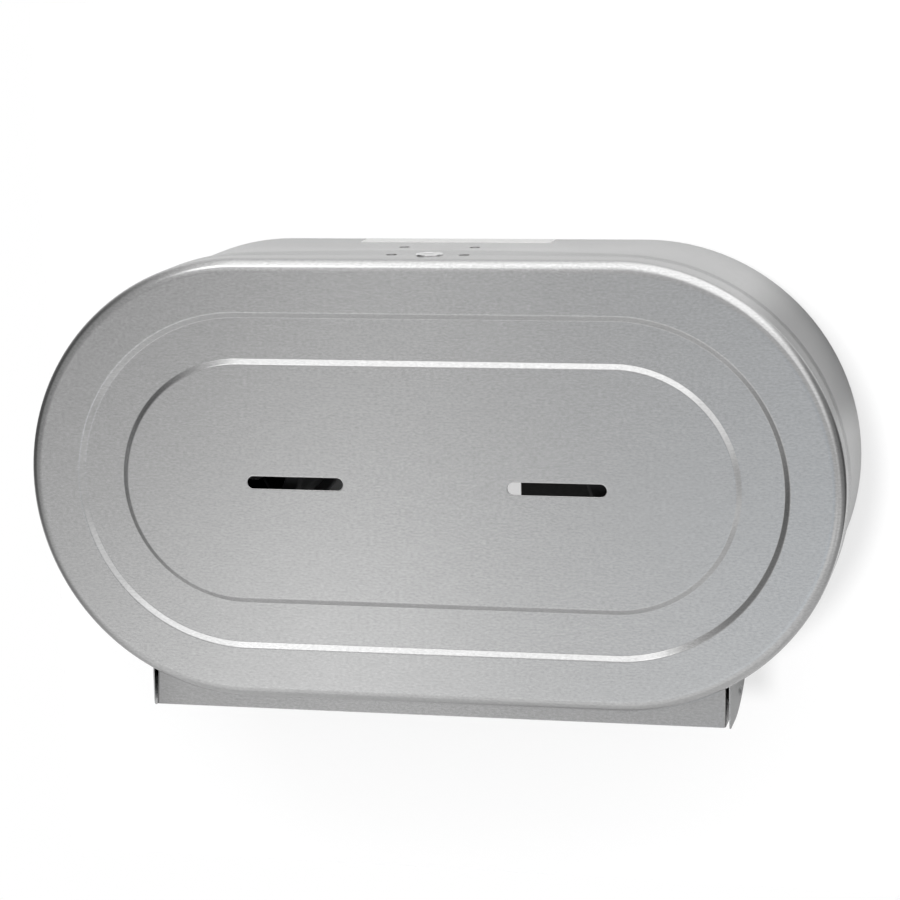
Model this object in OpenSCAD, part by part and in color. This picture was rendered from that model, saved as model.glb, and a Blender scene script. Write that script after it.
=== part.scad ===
/* [Door] */
// Width over the door
door_width = 528; // [500:1:560]
// Height of the door's round-ended outline
door_height = 286.5; // [276:0.5:300]
// Depth from the wall to the front face
total_depth = 135; // [130:1:150]
// Thickness of the door's steel sheet
door_sheet = 0.8; // [0.6:0.1:1]
// Outer radius of the drawn front edge
edge_radius = 8; // [5:0.5:10]
// Depth of the door's rim at its sides
rim_depth = 36; // [32:1:40]
// How much deeper the rim is at the middle of the top
seam_rise = 16; // [8:1:18]
// Length of the curved stretch of the rim's rear edge
seam_chord = 250; // [200:5:260]
// Distance from the outline in to the middle of the outer drawn step
outer_step_inset = 35.5; // [30:0.5:40]
// Distance from the outline in to the middle of the inner drawn step
inner_step_inset = 65.5; // [58:0.5:72]
// Depth of the channel between the two steps
step_depth = 2.5; // [2:0.25:3.5]
// Slope of a drawn step's flat, in degrees
step_slope = 37; // [30:1:45]
// Mid-line radius of the two bends of a drawn step
step_bend = 1; // [0.8:0.1:1.4]

/* [Sight slots] */
// Distance between the middles of the two slots
slot_spacing = 169.6; // [150:0.2:180]
// Length of a slot from end to end
slot_length = 63; // [50:1:70]
// Height of a slot
slot_height = 8; // [6:0.5:10]

/* [Cabinet] */
// Thickness of the cabinet's steel sheet
cabinet_sheet = 0.8; // [0.6:0.1:1]
// Gap all round between the cabinet and the door's rim
rim_gap = 1.6; // [1.2:0.1:2]
// How far the door's rim laps over the cabinet
rim_lap = 5; // [3:0.5:6]
// Depth of the back plate's turned flange
back_flange = 12; // [8:1:14]
// Bend radius of the back plate's flange
back_bend = 2.5; // [2:0.5:4]
// Width of the opening in the back plate
window_width = 68; // [50:1:72]
// Height of the opening in the back plate
window_height = 110; // [80:1:120]
// Height of the opening's middle above the spindles
window_middle = -22; // [-30:1:-15]
// Corner radius of the opening
window_corner = 8; // [4:1:12]
// Distance between the wall screw holes, side to side
screw_spacing_x = 406; // [380:1:420]
// Distance between the wall screw holes, up and down
screw_spacing_z = 102; // [80:1:120]
// Diameter of a wall screw hole
screw_hole = 6.5; // [5:0.5:8]

/* [Paper outlet and hinge] */
// Width between the outer faces of the two cheeks
cheek_width = 381.6; // [370:0.2:386]
// Height of the cheeks' lower edge
cheek_bottom = -155; // [-158:0.5:-152.5]
// Radius of the curve in which the cheek's lower edge rises towards the wall
cheek_round = 100; // [90:5:110]
// Depth at which that curve starts
cheek_curve = 36; // [30:1:42]
// Radius of the cheek's front lower corner
cheek_corner = 3; // [2:0.5:5]
// Depth of the door's apron behind the front face
apron_depth = 14; // [12:0.5:17]
// Lean of the apron, in degrees: its lower edge stands further forward
apron_lean = 10; // [6:1:12]
// Height of the apron's lower edge
apron_bottom = -153; // [-156:0.5:-152]
// Height of the apron's upper edge, inside the door
apron_top = -118; // [-121:0.5:-112]
// Outer bend radius where the apron turns into its arms
apron_bend = 2; // [1.5:0.25:3]
// Gap between an arm and its cheek
cheek_gap = 1.8; // [1.4:0.1:2.4]
// Depth of the hinge line behind the front face
pivot_depth = 64; // [60:0.5:66]
// Height of the hinge line
pivot_height = -143; // [-144.5:0.5:-142]
// Radius of the rounded end of an arm
arm_end = 9; // [7:0.5:9]
// Diameter of the hinge rivet's shank
rivet_shank = 4; // [3:0.5:5]
// Diameter of the hinge rivet's head
rivet_head = 7.2; // [6.6:0.2:9]
// Height of the hinge rivet's domed head
rivet_dome = 1.2; // [0.8:0.1:1.6]
// Diameter of the spacer between an arm and its cheek
spacer_diameter = 13; // [11:0.5:15]

/* [Lock] */
// Depth of the lock's middle behind the front face
lock_depth = 28; // [26:0.5:30]
// Diameter of the lock's threaded barrel
lock_barrel = 15.8; // [14:0.2:16]
// Distance across the two flats that keep the barrel from turning
lock_flats = 13.8; // [12.6:0.2:14]
// Diameter of the lock's face
lock_face = 17.4; // [16.8:0.2:18.4]
// How far the face stands above the rim
lock_proud = 0.8; // [0.5:0.1:1.2]
// Diameter of the plug that the key turns
plug_diameter = 10.8; // [9:0.2:11.4]
// Length of the barrel below the rim's outside
lock_length = 19; // [17:0.5:21]
// Reach of the cam from the plug's middle to its tip
cam_reach = 24; // [21:0.5:24]
// Width of the cam
cam_width = 10; // [9:0.5:11]
// Thickness of the cam
cam_sheet = 1.6; // [1.2:0.1:2]
// Distance across the flats of the lock's nut
nut_flats = 19; // [18:0.5:20]
// Thickness of the lock's nut
nut_height = 3; // [2.5:0.5:4]
// Thickness of the two brackets of the lock
bracket_sheet = 1.2; // [1:0.1:1.5]
// Width of the two brackets
bracket_width = 60; // [52:1:70]
// Half the width of the channel that stiffens the rim round the lock
channel_half = 13.5; // [12:0.5:14]
// Straight part of that channel's two lips
channel_lip = 4; // [3:0.5:6]
// Diameter of the head of the cam's screw
cam_screw_head = 8.6; // [8:0.2:9]

/* [Roll spindles] */
// Distance between the two spindles
spindle_spacing = 260; // [257:1:262]
// Outer diameter of the adapter that a 76 mm core slides over
adapter_diameter = 73; // [70:0.5:74]
// Outer diameter of the hub under the adapter
hub_diameter = 55; // [50:0.5:56]
// Diameter of the flange that keeps a roll off the back plate
flange_diameter = 88; // [80:1:90]
// Thickness of that flange
flange_sheet = 3; // [2:0.5:4]
// Moulded wall of the hub and the adapter
moulded_wall = 2.5; // [1.8:0.1:3]
// Length of the adapter
adapter_length = 75; // [68:0.5:76]
// Number of ribs in a hub
hub_ribs = 6; // [4:1:8]
// Number of ribs in an adapter
adapter_ribs = 10; // [6:1:12]
// Diameter of the spindle's post
post_diameter = 12; // [10:0.5:14]
// Width of the square plate that carries a post
plate_width = 90; // [80:1:90]
// Thickness of that plate
plate_sheet = 2; // [1.5:0.5:3]

/* [Fits] */
// Radial clearance of a turning fit
running_gap = 0.05; // [0.03:0.01:0.08]
// Gap between curved sheets that are spot-welded together
weld_gap = 0.1; // [0.05:0.05:0.2]
// End play beside a turning piece
end_play = 0.3; // [0.2:0.05:0.4]

/* [Hidden] */
$fn = 96;
eps = 0.01;
far = 400;

steel = [0.74, 0.75, 0.76];
zinc = [0.62, 0.63, 0.65];
brass = [0.78, 0.68, 0.42];
grey_plastic = [0.16, 0.16, 0.17];

// Outline: two half circles of door_radius about points half_core either side of the middle
door_radius = door_height / 2;
half_core = door_width / 2 - door_radius;
cabinet_radius = door_radius - door_sheet - rim_gap;
back_radius = cabinet_radius - cabinet_sheet - weld_gap;

// Drawn steps: a sloping flat between two equal bends
step_flat = (step_depth - 2 * step_bend * (1 - cos(step_slope))) / sin(step_slope);
step_run = 2 * step_bend * sin(step_slope) + step_flat * cos(step_slope);
outer_step = door_radius - outer_step_inset;
inner_step = door_radius - inner_step_inset;

// Curved stretch of the seam, an arc in plan
seam_radius = (pow(seam_chord / 2, 2) + pow(seam_rise, 2)) / (2 * seam_rise);
rim_deepest = rim_depth + seam_rise;
wall_front = rim_depth - rim_lap;

// Cheeks, apron and hinge, right-hand side
cheek_out = cheek_width / 2;
cheek_in = cheek_out - cabinet_sheet;
arm_out = cheek_in - cheek_gap;
arm_in = arm_out - door_sheet;
cheek_front = apron_depth + door_sheet + 0.7;
rim_cut = cheek_out + 0.7;
cheek_top = -sqrt(pow(cabinet_radius - cabinet_sheet / 4, 2) - pow(cheek_in - half_core, 2));

// Lock stack, heights
rim_top = door_radius;
rim_under = door_radius - door_sheet;
bracket_top = rim_under - weld_gap;
bracket_under = bracket_top - bracket_sheet;
barrel_end = rim_top - lock_length;
cam_top = barrel_end - end_play;
cam_under = cam_top - cam_sheet;
tail_side = 6;
strike_level = cam_top + 4;
strike_x = [lock_barrel / 2 + 1.6, cam_reach + 2];
strike_tab_depth = lock_depth - cam_width / 2 - 1.3 - bracket_sheet;
strike_weld_depth = 68;
strike_half = 12;

// Spindle stack, depths behind the front face
plate_front = total_depth - cabinet_sheet - plate_sheet;
post_base = 2.5;
post_base_radius = post_diameter / 2 + 5;
washer_sheet = 1;
washer_radius = post_diameter / 2 + 4.5;
hub_rear = plate_front - post_base - washer_sheet - 2 * end_play;
flange_front = hub_rear - flange_sheet;
adapter_front = flange_front - adapter_length - end_play;
hub_front = adapter_front + 3;
boss_front = hub_front + 7;
boss_radius = post_diameter / 2 + 5;
front_washer = boss_front - end_play - washer_sheet;
ring_sheet = 1;
ring_front = front_washer - 0.1 - ring_sheet;
post_tip = ring_front - 3.5;

// Mid-line of a bent sheet: each step is [length, 0] or [radius, turn in degrees],
// and each point is [x, y, heading]
function walk(steps, i = 0, at = [0, 0, 0]) =
  i == len(steps) ? [at] :
  let (s = steps[i], turn = s[1], side = turn > 0 ? 1 : -1, parts = ceil(abs(turn) / 10))
  turn == 0
    ? concat([at], walk(steps, i + 1, [at[0] + s[0] * cos(at[2]), at[1] + s[0] * sin(at[2]), at[2]]))
    : let (
        mx = at[0] - side * s[0] * sin(at[2]),
        my = at[1] + side * s[0] * cos(at[2]),
        arc = [for (k = [0:parts]) let (h = at[2] + turn * k / parts)
          [mx + side * s[0] * sin(h), my - side * s[0] * cos(h), h]]
      )
      concat([for (k = [0:parts - 1]) arc[k]], walk(steps, i + 1, arc[parts]));

function beside(line, d) = [for (p = line) [p[0] - d * sin(p[2]), p[1] + d * cos(p[2])]];

function backwards(list) = [for (i = [len(list) - 1:-1:0]) list[i]];

// Sheet of thickness t whose left face, seen along its heading, runs from the start point
module bent_sheet(steps, t, start = [0, 0, 0]) {
  line = walk(steps, 0, start);
  polygon(concat(beside(line, t / 2), backwards(beside(line, -t / 2))));
}

// A half profile carried round the whole outline: x is outwards, y is depth
module round_outline(core = half_core) {
  for (side = [0, 1]) mirror([side, 0, 0])
    translate([core, 0, 0]) rotate([-90, 0, 0]) rotate([0, 0, -90])
      rotate_extrude(angle = 180) children();
  translate([-core, 0, 0]) rotate([0, 90, 0]) linear_extrude(2 * core) {
    children();
    mirror([1, 0]) children();
  }
}

module stadium(r, core = half_core) {
  square([2 * core, 2 * r], center = true);
  for (side = [-1, 1]) translate([side * core, 0]) circle(r);
}

// A flat shape drawn in front view, extruded from one depth to another
module front_view(from, to) {
  translate([0, to, 0]) rotate([90, 0, 0]) linear_extrude(to - from) children();
}

// A flat shape drawn in side view, x depth and y height, extruded across
module side_view(from, to) {
  translate([from, 0, 0]) rotate([90, 0, 90]) linear_extrude(to - from) children();
}

// Everything is drawn with depth 0 at the front face, then set on the wall plane
module on_wall() {
  translate([0, -total_depth, 0]) children();
}

// Slants what is above or below a height, towards the wall as it rises
module leaning(angle, level) {
  slant = tan(angle);
  multmatrix([[1, 0, 0, 0], [0, 1, slant, -slant * level], [0, 0, 1, 0]]) children();
}

module both_sides() {
  for (side = [0, 1]) mirror([side, 0, 0]) children();
}

module round_square(w, h, r) {
  square([w, h - 2 * r], center = true);
  square([w - 2 * r, h], center = true);
  for (x = [-1, 1], y = [-1, 1]) translate([x * (w / 2 - r), y * (h / 2 - r)]) circle(r);
}

// Room in front of a curved seam at the given depth of its middle, in plan
module seam_room(middle, side_depth) {
  translate([-far, -far]) square([2 * far, far + side_depth]);
  intersection() {
    translate([0, middle - seam_radius]) circle(seam_radius, $fn = 720);
    translate([-seam_chord / 2, 0]) square([seam_chord, middle + 1]);
  }
}

module cover_profile() {
  bent_sheet([
    [inner_step - step_run / 2, 0],
    [step_bend, step_slope], [step_flat, 0], [step_bend, -step_slope],
    [outer_step - inner_step - step_run, 0],
    [step_bend, -step_slope], [step_flat, 0], [step_bend, step_slope],
    [door_radius - edge_radius - outer_step - step_run / 2, 0],
    [edge_radius - door_sheet / 2, 90],
    [rim_deepest - edge_radius, 0]
  ], door_sheet, [0, door_sheet / 2, 0]);
}

module door_cover() color(steel) on_wall() difference() {
  round_outline() cover_profile();
  // Rear edge of the rim: level at the sides, an arc over the top
  difference() {
    translate([-far, rim_depth, 0]) cube([2 * far, far, far]);
    linear_extrude(far) seam_room(rim_deepest, rim_depth);
  }
  translate([-far, rim_depth, -far]) cube([2 * far, far, far + eps]);
  // The rim stops short where the paper comes out
  translate([-rim_cut, apron_depth, -far]) cube([2 * rim_cut, far, far - door_radius / 2]);
  both_sides() translate([slot_spacing / 2, 0, 0]) front_view(-1, door_sheet + 1)
    stadium(slot_height / 2, (slot_length - slot_height) / 2);
  translate([0, lock_depth, rim_under - 1]) linear_extrude(door_sheet + 2) barrel_section(weld_gap);
}

// U-shaped apron: front strip, two bends and two arms back to the hinge rivets
module door_apron() color(steel) on_wall() {
  bend_mid = apron_bend - door_sheet / 2;
  arm_start = pivot_depth + arm_end + 3;
  arm_run = arm_start - apron_depth - apron_bend;
  difference() {
    intersection() {
      leaning(apron_lean, -door_radius)
        translate([0, 0, apron_bottom]) linear_extrude(apron_top - apron_bottom)
          bent_sheet([
            [arm_run, 0], [bend_mid, 90], [2 * (arm_out - apron_bend), 0], [bend_mid, 90], [arm_run, 0]
          ], door_sheet, [-arm_out + door_sheet / 2, arm_start, -90]);
      side_view(-far, far) {
        polygon([
          [apron_depth - 4, apron_bottom], [pivot_depth, pivot_height - arm_end],
          [pivot_depth, pivot_height + arm_end], [apron_depth + 11, apron_top],
          [apron_depth - 4, apron_top]
        ]);
        translate([pivot_depth, pivot_height]) circle(arm_end);
      }
    }
    translate([-far, pivot_depth, pivot_height]) rotate([0, 90, 0])
      cylinder(d = rivet_shank + 2 * running_gap, h = 2 * far);
  }
}

// Wrapped wall strip, open below, whose two ends hang down as cheeks
module cabinet_wall() color(steel) on_wall() {
  difference() {
    front_view(wall_front, total_depth) difference() {
      stadium(cabinet_radius);
      stadium(cabinet_radius - cabinet_sheet);
      translate([-cheek_in, -far]) square([2 * cheek_in, far]);
    }
    linear_extrude(far) seam_room(rim_deepest - rim_lap, wall_front);
  }
  both_sides() difference() {
    side_view(cheek_in, cheek_out) {
      hull() {
        translate([cheek_front + cheek_corner, cheek_bottom + cheek_corner]) circle(cheek_corner);
        translate([cheek_front, cheek_top - 1]) square(1);
        translate([cheek_curve - 1, cheek_bottom]) square([1, cheek_top - cheek_bottom]);
      }
      intersection() {
        translate([cheek_curve, cheek_bottom + cheek_round]) circle(cheek_round, $fn = 360);
        translate([cheek_curve - 1, cheek_bottom])
          square([cheek_round + 2, cheek_top - cheek_bottom]);
      }
    }
    translate([cheek_in - 1, pivot_depth, pivot_height]) rotate([0, 90, 0])
      cylinder(d = rivet_shank, h = cabinet_sheet + 2);
  }
}

module back_profile() {
  bent_sheet([
    [back_radius - back_bend, 0], [back_bend - cabinet_sheet / 2, -90], [back_flange - back_bend, 0]
  ], cabinet_sheet, [0, total_depth - cabinet_sheet / 2, 0]);
}

module cabinet_back() color(steel) on_wall() difference() {
  round_outline() back_profile();
  front_view(total_depth - 3, total_depth + 1) {
    translate([0, window_middle]) round_square(window_width, window_height, window_corner);
    for (x = [-1, 1], z = [-1, 1])
      translate([x * screw_spacing_x / 2, z * screw_spacing_z / 2]) circle(d = screw_hole);
  }
}

// Spot-welded under the cabinet's top; its arm reaches forward beside the lock
// and turns down in front of the place where the locked cam lies
module strike_bracket() color(steel) on_wall() {
  top_mid = cabinet_radius - cabinet_sheet - weld_gap - bracket_sheet / 2;
  bend = 1.5;
  web_depth = strike_weld_depth - strike_half;
  drop = top_mid - strike_level - bracket_sheet / 2;
  side_view(strike_x[0], strike_x[1])
    bent_sheet([
      [strike_half, 0], [bend, 90], [drop - 2 * bend, 0], [bend, -90],
      [web_depth - strike_tab_depth - bracket_sheet / 2 - 2 * bend, 0], [bend, 90], [7, 0]
    ], bracket_sheet, [strike_weld_depth + bend - 0.1, top_mid, 180]);
  front_top = top_mid - bracket_sheet / 2;
  translate([-bracket_width / 2, web_depth + 2.5, front_top])
    cube([bracket_width, 2 * strike_half - 2.5, bracket_sheet]);
}

module spindle_place(side) {
  on_wall() translate([side * spindle_spacing / 2, 0, 0]) children();
}

// A turned piece about a spindle: x radius, y depth
module about_spindle(side) {
  spindle_place(side) rotate([-90, 0, 0]) rotate_extrude() children();
}

module ring_section(r1, r2, d1, d2) {
  translate([r1, d1]) square([r2 - r1, d2 - d1]);
}

module spindle_plate(side) color(steel) spindle_place(side)
  front_view(plate_front, plate_front + plate_sheet) difference() {
    round_square(plate_width, plate_width, 8);
    circle(d = post_diameter + 2 * running_gap);
  }

module spindle_post(side) color(zinc) about_spindle(side) difference() {
  r = post_diameter / 2;
  union() {
    polygon([
      [0, post_tip], [r - 1, post_tip], [r, post_tip + 1],
      [r, plate_front + plate_sheet], [0, plate_front + plate_sheet]
    ]);
    ring_section(r - 1, post_base_radius, plate_front - post_base, plate_front);
  }
  ring_section(r - 1, r + 1, ring_front, ring_front + ring_sheet);
}

module thrust_washers() color(zinc) {
  for (side = [-1, 1], d = [front_washer, hub_rear + end_play]) about_spindle(side)
    ring_section(post_diameter / 2 + running_gap, washer_radius, d, d + washer_sheet);
}

module retaining_rings() color(zinc) for (side = [-1, 1]) difference() {
  about_spindle(side)
    ring_section(post_diameter / 2 - 1 + running_gap, post_diameter / 2 + 3, ring_front + 0.05, ring_front + ring_sheet - 0.05);
  spindle_place(side) translate([-3.4, ring_front - 1, -far]) cube([6.8, ring_sheet + 2, far]);
}

module spindle_hub(side) color(grey_plastic) {
  bore = post_diameter / 2 + running_gap;
  tube_in = hub_diameter / 2 - moulded_wall;
  about_spindle(side) {
    ring_section(bore, boss_radius, boss_front, hub_rear);
    ring_section(tube_in, hub_diameter / 2, hub_front, hub_rear);
    ring_section(bore, flange_diameter / 2 - 1.5, flange_front, hub_rear);
    translate([flange_diameter / 2 - 1.5, flange_front + flange_sheet / 2]) circle(flange_sheet / 2);
  }
  spindle_place(side) for (k = [0:hub_ribs - 1])
    rotate([0, k * 360 / hub_ribs, 0])
      translate([boss_radius - 1, boss_front + 2, -1]) cube([tube_in - boss_radius + 2, flange_front - boss_front - 1, 2]);
}

module core_adapter(side) color(grey_plastic) {
  inner = hub_diameter / 2 + weld_gap;
  outer = adapter_diameter / 2;
  rear = adapter_front + adapter_length;
  lead = 2.5;
  about_spindle(side) {
    polygon([
      [outer - lead, adapter_front], [outer, adapter_front + lead], [outer, rear],
      [outer - moulded_wall, rear], [outer - moulded_wall, adapter_front + moulded_wall],
      [inner - moulded_wall, adapter_front + moulded_wall], [inner - moulded_wall, adapter_front]
    ]);
    ring_section(inner, inner + moulded_wall, adapter_front + 1, rear);
  }
  spindle_place(side) for (k = [0:adapter_ribs - 1])
    rotate([0, k * 360 / adapter_ribs, 0])
      translate([inner + 1, adapter_front + 1, -0.9])
        cube([outer - inner - 2, adapter_length - 3, 1.8]);
}

// Domed head outside the cheek, upset tail inside the arm
module hinge_rivet(side) color(zinc) mirror([side < 0 ? 1 : 0, 0, 0]) on_wall() {
  tail_face = arm_in - 0.1;
  head_radius = rivet_head / 2;
  dome_radius = (pow(head_radius, 2) + pow(rivet_dome, 2)) / (2 * rivet_dome);
  translate([0, pivot_depth, pivot_height]) rotate([0, 90, 0]) {
    translate([0, 0, tail_face - 1]) cylinder(d = rivet_shank, h = cheek_out - tail_face + 1.2);
    translate([0, 0, tail_face - 1.1]) cylinder(d = rivet_head - 0.4, h = 1.1);
    rotate_extrude() intersection() {
      translate([0, cheek_out + rivet_dome - dome_radius]) circle(dome_radius);
      translate([0, cheek_out]) square([head_radius, rivet_dome + 1]);
    }
  }
}

module hinge_spacers() color(grey_plastic) both_sides() on_wall()
  translate([arm_out + running_gap, pivot_depth, pivot_height]) rotate([0, 90, 0]) difference() {
    cylinder(d = spacer_diameter, h = cheek_gap - 2 * running_gap);
    translate([0, 0, -1]) cylinder(d = rivet_shank + 4 * running_gap, h = cheek_gap + 2);
  }

// Channel welded under the door's rim, which stiffens it round the lock
module lock_bracket() color(steel) on_wall() difference() {
  bend = 1.6;
  lip_end = bracket_top - bracket_sheet / 2 - bend - channel_lip;
  side_view(-bracket_width / 2, bracket_width / 2) bent_sheet([
    [channel_lip, 0], [bend, 90], [2 * (channel_half - bend) - bracket_sheet, 0], [bend, 90], [channel_lip, 0]
  ], bracket_sheet, [lock_depth + channel_half - bracket_sheet / 2, lip_end, 90]);
  translate([0, lock_depth, bracket_under - 1]) linear_extrude(bracket_sheet + 2) barrel_section(weld_gap);
}

// The barrel is round with two flats, and so are the holes that hold it
module barrel_section(room = 0) intersection() {
  circle(d = lock_barrel + 2 * room);
  square([lock_flats + 2 * room, lock_barrel + 1], center = true);
}

module lock_stack() {
  on_wall() translate([0, lock_depth, 0]) children();
}

module lock_body() color(zinc) lock_stack() difference() {
  union() {
    translate([0, 0, rim_top + 0.02]) cylinder(d = lock_face, h = lock_proud - 0.02);
    translate([0, 0, barrel_end]) linear_extrude(lock_length + lock_proud / 2) barrel_section();
  }
  translate([0, 0, barrel_end - 1]) cylinder(d = plug_diameter + 2 * running_gap, h = lock_length + 4);
}

module lock_nut() color(zinc) lock_stack() difference() {
  translate([0, 0, bracket_under - 0.05 - nut_height])
    cylinder(d = nut_flats / cos(30), h = nut_height, $fn = 6);
  translate([0, 0, bracket_under - nut_height - 1])
    cylinder(d = lock_barrel + 2 * running_gap, h = nut_height + 2);
}

module lock_plug() color(brass) lock_stack() difference() {
  union() {
    translate([0, 0, barrel_end - 0.1]) cylinder(d = plug_diameter, h = lock_length + lock_proud);
    translate([-tail_side / 2, -tail_side / 2, cam_under]) cube([tail_side, tail_side, 3]);
  }
  translate([-3.8, -0.7, rim_top - 4]) cube([6.6, 1.4, 8]);
  translate([0, 0, cam_under - 1]) cylinder(d = 3, h = 7);
}

module lock_cam() color(zinc) lock_stack() translate([0, 0, cam_under]) difference() {
  linear_extrude(cam_sheet) {
    circle(cam_width / 2);
    translate([-cam_width / 2, 0]) square([cam_width, cam_reach - cam_width / 2]);
    translate([0, cam_reach - cam_width / 2]) circle(cam_width / 2);
  }
  translate([-tail_side / 2 - 0.05, -tail_side / 2 - 0.05, -1]) cube([tail_side + 0.1, tail_side + 0.1, 4]);
}

module cam_screw() color(zinc) lock_stack() {
  translate([0, 0, cam_under - 0.05 - 2]) difference() {
    cylinder(d = cam_screw_head, h = 2);
    for (a = [0, 90]) rotate([0, 0, a]) translate([-2.2, -0.5, -1]) cube([4.4, 1, 2]);
  }
  translate([0, 0, cam_under - 0.2]) cylinder(d = 2.9, h = 5.5);
}

cabinet_wall();
cabinet_back();
strike_bracket();
spindle_plate(-1);  // spindle_plate_left
spindle_plate(1);  // spindle_plate_right
spindle_post(-1);  // spindle_post_left
spindle_post(1);  // spindle_post_right
thrust_washers();
retaining_rings();
hinge_rivet(-1);  // hinge_rivet_left
hinge_rivet(1);  // hinge_rivet_right
hinge_spacers();
door_cover();
door_apron();
lock_bracket();
lock_body();
lock_nut();
lock_plug();
lock_cam();
cam_screw();
spindle_hub(-1);  // spindle_hub_left
spindle_hub(1);  // spindle_hub_right
core_adapter(-1);  // core_adapter_left
core_adapter(1);  // core_adapter_right
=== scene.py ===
"""Twin jumbo toilet roll dispenser: its looks, built round the packed frame."""

import math

import bmesh
import bpy
import numpy as np
from bpy.props import FloatProperty, FloatVectorProperty, PointerProperty
from mathutils import Matrix, Vector
from mathutils.geometry import delaunay_2d_cdt


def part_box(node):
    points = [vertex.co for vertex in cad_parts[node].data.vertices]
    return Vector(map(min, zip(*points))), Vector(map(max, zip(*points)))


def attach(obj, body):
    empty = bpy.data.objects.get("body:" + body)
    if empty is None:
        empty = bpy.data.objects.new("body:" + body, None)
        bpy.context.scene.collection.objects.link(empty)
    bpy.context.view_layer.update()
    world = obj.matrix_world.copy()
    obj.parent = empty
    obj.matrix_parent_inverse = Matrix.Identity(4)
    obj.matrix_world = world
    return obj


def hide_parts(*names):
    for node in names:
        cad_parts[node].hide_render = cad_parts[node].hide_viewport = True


bl_info = {
    "name": "Twin Jumbo Roll Dispenser",
    "version": (1, 0, 0),
    "blender": (4, 5, 0),
    "location": "View3D > Sidebar > Dispenser",
    "description": "Builds the looks of a sheet-steel dispenser for two jumbo toilet rolls",
    "category": "Object",
}

# Frame

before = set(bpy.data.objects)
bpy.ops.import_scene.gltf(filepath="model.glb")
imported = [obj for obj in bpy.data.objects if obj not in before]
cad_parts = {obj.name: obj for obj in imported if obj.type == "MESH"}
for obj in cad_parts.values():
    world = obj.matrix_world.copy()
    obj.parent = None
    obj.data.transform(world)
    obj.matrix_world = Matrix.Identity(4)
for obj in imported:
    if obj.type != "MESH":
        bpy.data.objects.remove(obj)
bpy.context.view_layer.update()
COVER_LOW, COVER_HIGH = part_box("door_cover")
WALL_LOW, WALL_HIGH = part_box("cabinet_wall")
APRON_LOW, APRON_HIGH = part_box("door_apron")
LOCK_LOW, LOCK_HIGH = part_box("lock_body")
RIVET_LOW, RIVET_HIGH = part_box("hinge_rivet_right")
FRONT = COVER_LOW.y
HINGE_Y = (RIVET_LOW.y + RIVET_HIGH.y) / 2
HINGE_Z = (RIVET_LOW.z + RIVET_HIGH.z) / 2
LOCK_Y = (LOCK_LOW.y + LOCK_HIGH.y) / 2

# Sizes and colours

MM = 0.001
# How far the floor lies below the dispenser's middle
FLOOR_DROP = 0.9
# Spacings of the extra rows beside a bend, and of the samples where the lower rim stops short
GUARD, EASE, OUTLET_STEP = 0.5 * MM, 0.3 * MM, 0.02 * MM
# Points nearer to each other than this are one
MERGE = 0.001 * MM


def length(name, description, default, **more):
    """A length in metres, shown in the scene's units."""
    return FloatProperty(name=name, description=description, default=default, unit="LENGTH",
                         precision=5, **more)


def colour(name, description, default):
    """A linear colour."""
    return FloatVectorProperty(name=name, description=description, default=default,
                               subtype="COLOR", size=3, min=0, max=1)


def plain(name, description, default, **more):
    """A number without a unit, or an angle where more says so."""
    return FloatProperty(name=name, description=description, default=default, **more)


class DoorSizes(bpy.types.PropertyGroup):
    """Sizes of the drawn door cover and its apron."""

    sheet: length("Sheet", "Thickness of the door's steel", 0.8 * MM)
    edge_radius: length("Edge radius", "Outer radius of the drawn front edge", 8 * MM)
    side_depth: length("Side depth", "Depth of the rim at its sides", 36 * MM)
    arch_half: length("Arch half", "Half the length of the rim's curved rear edge", 125 * MM)
    outer_step: length("Outer step", "Distance from the core to the outer step's middle", 107.75 * MM)
    inner_step: length("Inner step", "Distance from the core to the inner step's middle", 77.75 * MM)
    step_depth: length("Step depth", "Depth of the channel between the steps", 2.5 * MM)
    step_slope: plain("Step slope", "Slope of a step's flat", math.radians(37), subtype="ANGLE")
    step_bend: length("Step bend", "Mid-line radius of the bends at a step's top and foot", 1 * MM)
    outlet_half: length("Outlet half", "Half the width where the lower rim stops short", 191.5 * MM)
    outlet_depth: length("Outlet depth", "Depth at which the lower rim stops", 14 * MM)
    slot_middle: length("Slot middle", "Distance from the door's middle to a slot's", 84.8 * MM)
    slot_length: length("Slot length", "Length of a sight slot", 63 * MM)
    slot_height: length("Slot height", "Height of a sight slot", 8 * MM)
    slot_roll: length("Slot roll", "How far the punched slot's edge is rolled in", 0.35 * MM)
    edge_round: length("Edge round", "Rounding of the sheet's cut edges", 0.22 * MM)
    apron_bend: length("Apron bend", "Outer bend radius of the apron", 2 * MM)
    apron_front: length("Apron front", "Depth of the apron's face at the rim's lowest point", 14 * MM)
    apron_lean: plain("Apron lean", "Lean of the apron, whose lower edge stands forward",
                      math.radians(10), subtype="ANGLE")
    arm_end: length("Arm end", "Radius of an arm's rounded end", 9 * MM)
    arm_taper: length("Arm taper", "How far before the strip's face the lower edge rises", 4 * MM)
    arm_slope_start: length("Arm slope start", "Depth at which an arm starts to taper", 25 * MM)


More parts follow.
